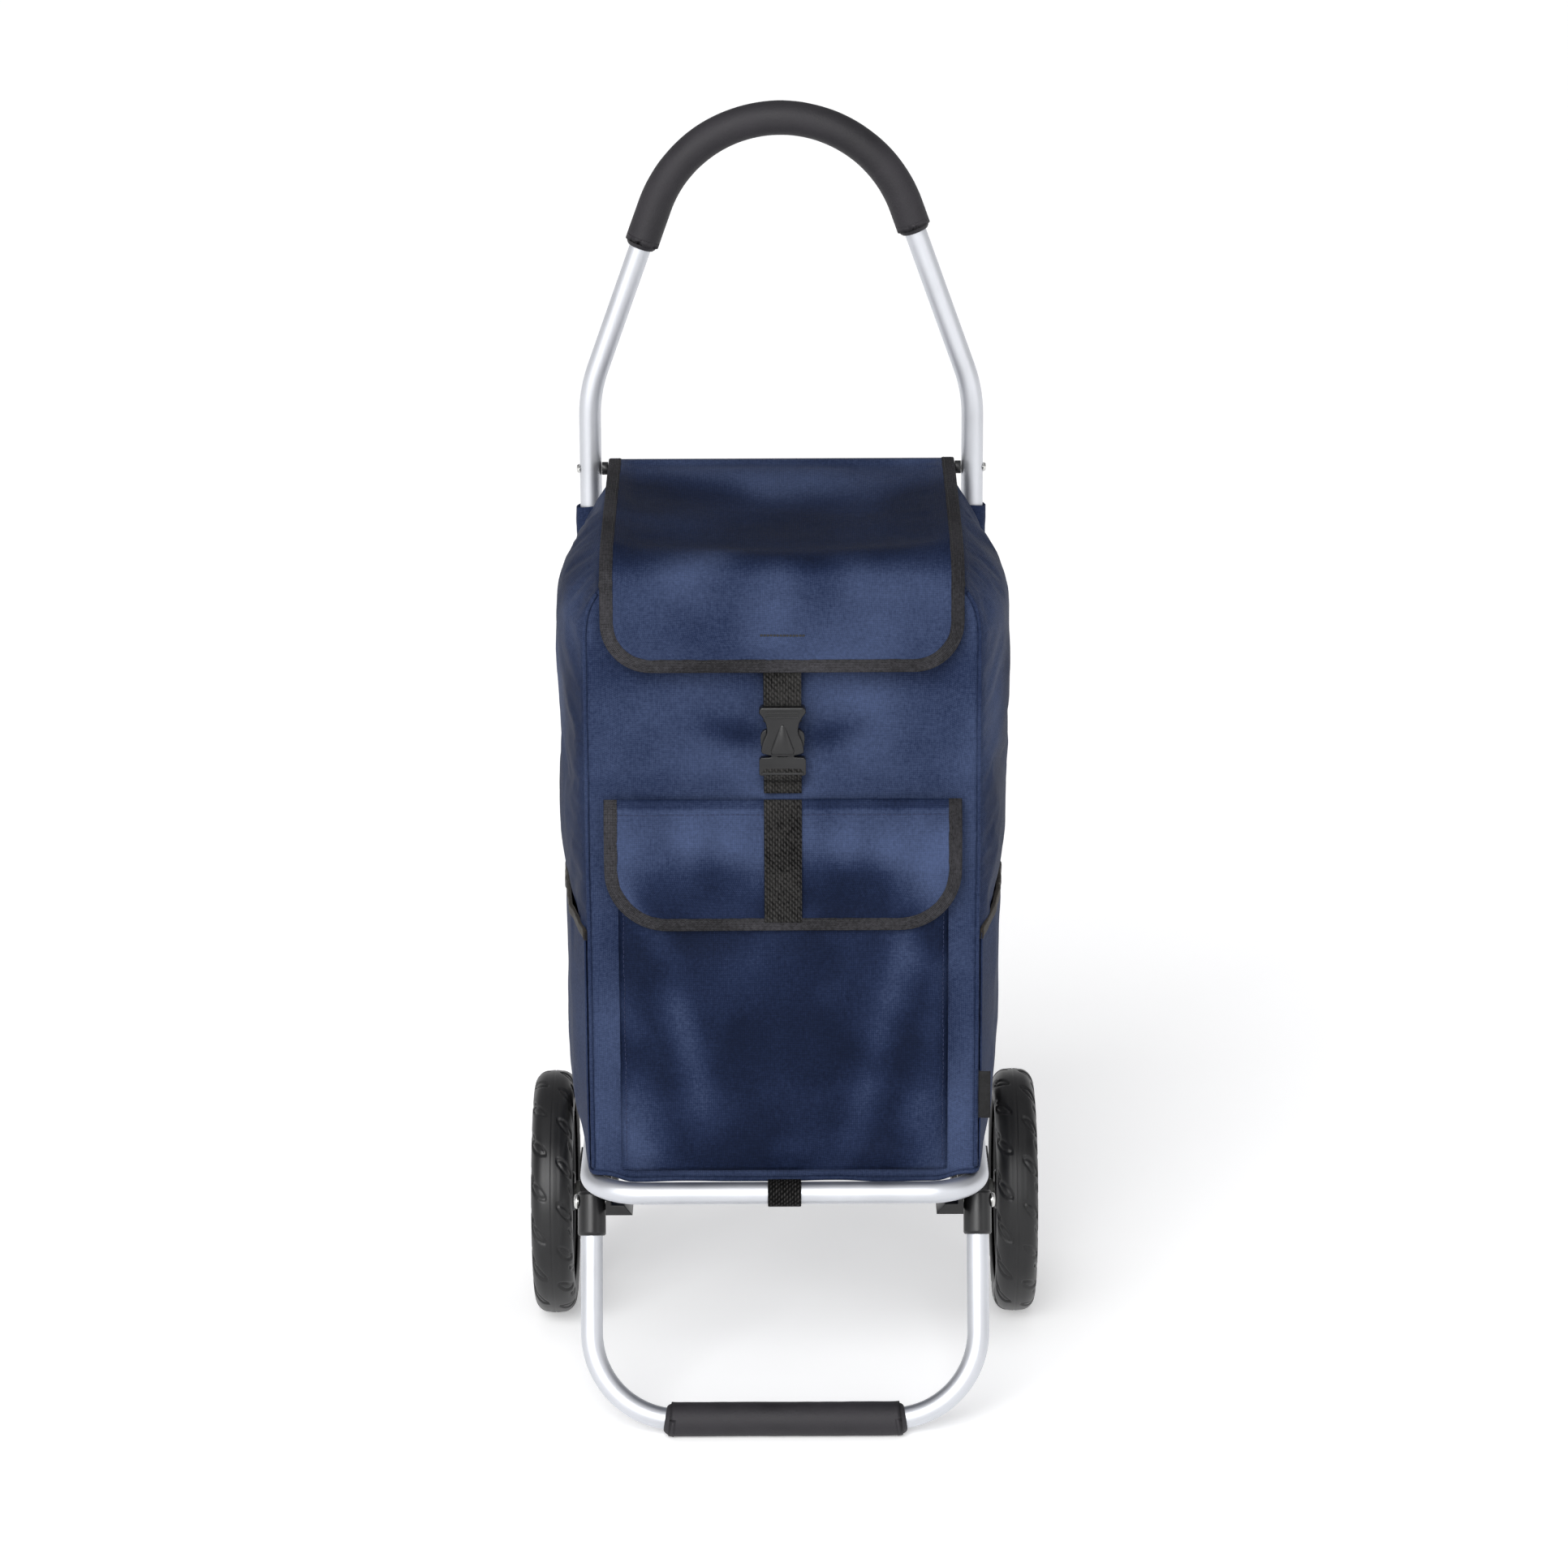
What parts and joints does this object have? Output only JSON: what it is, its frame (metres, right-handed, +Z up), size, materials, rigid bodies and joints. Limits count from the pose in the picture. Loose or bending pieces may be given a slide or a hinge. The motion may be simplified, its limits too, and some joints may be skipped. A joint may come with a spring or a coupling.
{
  "type": "shopping trolley",
  "caption": "Two-wheeled folding shopping trolley: bent aluminium frame with foam grip, fabric bag with buckled lid and pockets, folding platform and stand.",
  "frame": {"origin": "on the floor, under the middle of the trolley's overall box", "axes": "+Z up, +X to the right seen from the front, the front of the bag faces -Y"},
  "size_m": [0.43, 0.4, 1.05],
  "materials": {
    "aluminium_tube": "satin anodised tube",
    "zinc_steel": "zinc-plated steel",
    "black_plastic": "moulded black plastic, semi-matt",
    "nylon_bush": "smooth moulded nylon",
    "tyre_rubber": "semi-gloss moulded rubber",
    "foam_grip": "closed-cell foam, matt",
    "bag_nylon": "coated navy nylon, plain weave with a soft sheen",
    "woven_binding": "black ribbed woven tape",
    "webbing": "charcoal ribbed webbing"
  },
  "bodies": {
    "frame": {"main_frame_tube": "aluminium_tube", "handle_grip": "foam_grip", "crossbar_rod": "zinc_steel", "crossbar_bracket_left": "black_plastic", "crossbar_bracket_right": "black_plastic", "crossbar_screw_left": "zinc_steel", "crossbar_screw_right": "zinc_steel", "axle_bracket_left": "black_plastic", "axle_bracket_right": "black_plastic", "axle_spacer_left": "black_plastic", "axle_spacer_right": "black_plastic", "axle_clip_left": "zinc_steel", "axle_clip_right": "zinc_steel", "platform_hinge_left": "black_plastic", "platform_hinge_right": "black_plastic", "platform_pin_left": "zinc_steel", "platform_pin_right": "zinc_steel", "upright_sleeve_left": "bag_nylon", "upright_sleeve_right": "bag_nylon", "bag_side_left": "bag_nylon", "bag_side_right": "bag_nylon", "side_pocket_left": "bag_nylon", "side_pocket_right": "bag_nylon", "axle_rod": "zinc_steel", "bag_front_panel": "bag_nylon", "bag_back_panel": "bag_nylon", "bag_base_panel": "bag_nylon", "bag_base_board": "black_plastic", "front_pocket_panel": "bag_nylon", "anchor_strap": "webbing"},
    "platform": {"platform_tube": "aluminium_tube", "base_strap": "webbing", "stand_bracket_left": "black_plastic", "stand_bracket_right": "black_plastic", "stand_bolt_left": "zinc_steel", "stand_bolt_right": "zinc_steel", "stand_nut_left": "zinc_steel", "stand_nut_right": "zinc_steel"},
    "stand": {"stand_tube": "aluminium_tube", "stand_grip": "foam_grip", "stand_sleeve_left": "black_plastic", "stand_sleeve_right": "black_plastic"},
    "lid": {"lid_panel": "bag_nylon", "lid_binding": "woven_binding", "lid_strap": "webbing", "buckle_socket": "black_plastic"},
    "pocket_flap": {"pocket_flap_panel": "bag_nylon", "pocket_flap_binding": "woven_binding", "pocket_strap": "webbing"},
    "buckle_plug_body": {"buckle_plug": "black_plastic"},
    "wheel_left": {"tyre_left": "tyre_rubber", "rim_left": "black_plastic", "wheel_bush_left": "nylon_bush", "hub_cap_left": "black_plastic"},
    "wheel_right": {"tyre_right": "tyre_rubber", "rim_right": "black_plastic", "wheel_bush_right": "nylon_bush", "hub_cap_right": "black_plastic"}
  },
  "joints": [
    {"name": "platform_fold", "type": "hinge", "parent": "frame", "child": "platform", "pos_m": [0, 0.06, 0.203], "axis": [-1, 0, 0], "range_deg": [0, 80], "deforming": ["bag_front_panel", "bag_side_left", "bag_side_right", "bag_base_panel", "bag_base_board", "front_pocket_panel", "side_pocket_left", "side_pocket_right", "pocket_flap_panel", "pocket_flap_binding", "pocket_strap"]},
    {"name": "stand_fold", "type": "hinge", "parent": "platform", "child": "stand", "pos_m": [0, -0.12, 0.179], "axis": [1, 0, 0], "range_deg": [0, 105]},
    {"name": "lid_open", "type": "hinge", "parent": "frame", "child": "lid", "pos_m": [0, 0.0954, 0.745], "axis": [-1, 0, 0], "range_deg": [0, 78]},
    {"name": "pocket_flap_open", "type": "hinge", "parent": "frame", "child": "pocket_flap", "pos_m": [0, -0.153, 0.533], "axis": [-1, 0, 0], "range_deg": [0, 95]},
    {"name": "buckle_release", "type": "slide", "parent": "frame", "child": "buckle_plug_body", "axis": [0, 0, -1], "range_m": [0, 0.012]},
    {"name": "wheel_left_spin", "type": "hinge", "parent": "frame", "child": "wheel_left", "pos_m": [-0.1925, 0.0954, 0.1046], "axis": [1, 0, 0], "continuous": true},
    {"name": "wheel_right_spin", "type": "hinge", "parent": "frame", "child": "wheel_right", "pos_m": [0.1925, 0.0954, 0.1046], "axis": [1, 0, 0], "continuous": true}
  ]
}
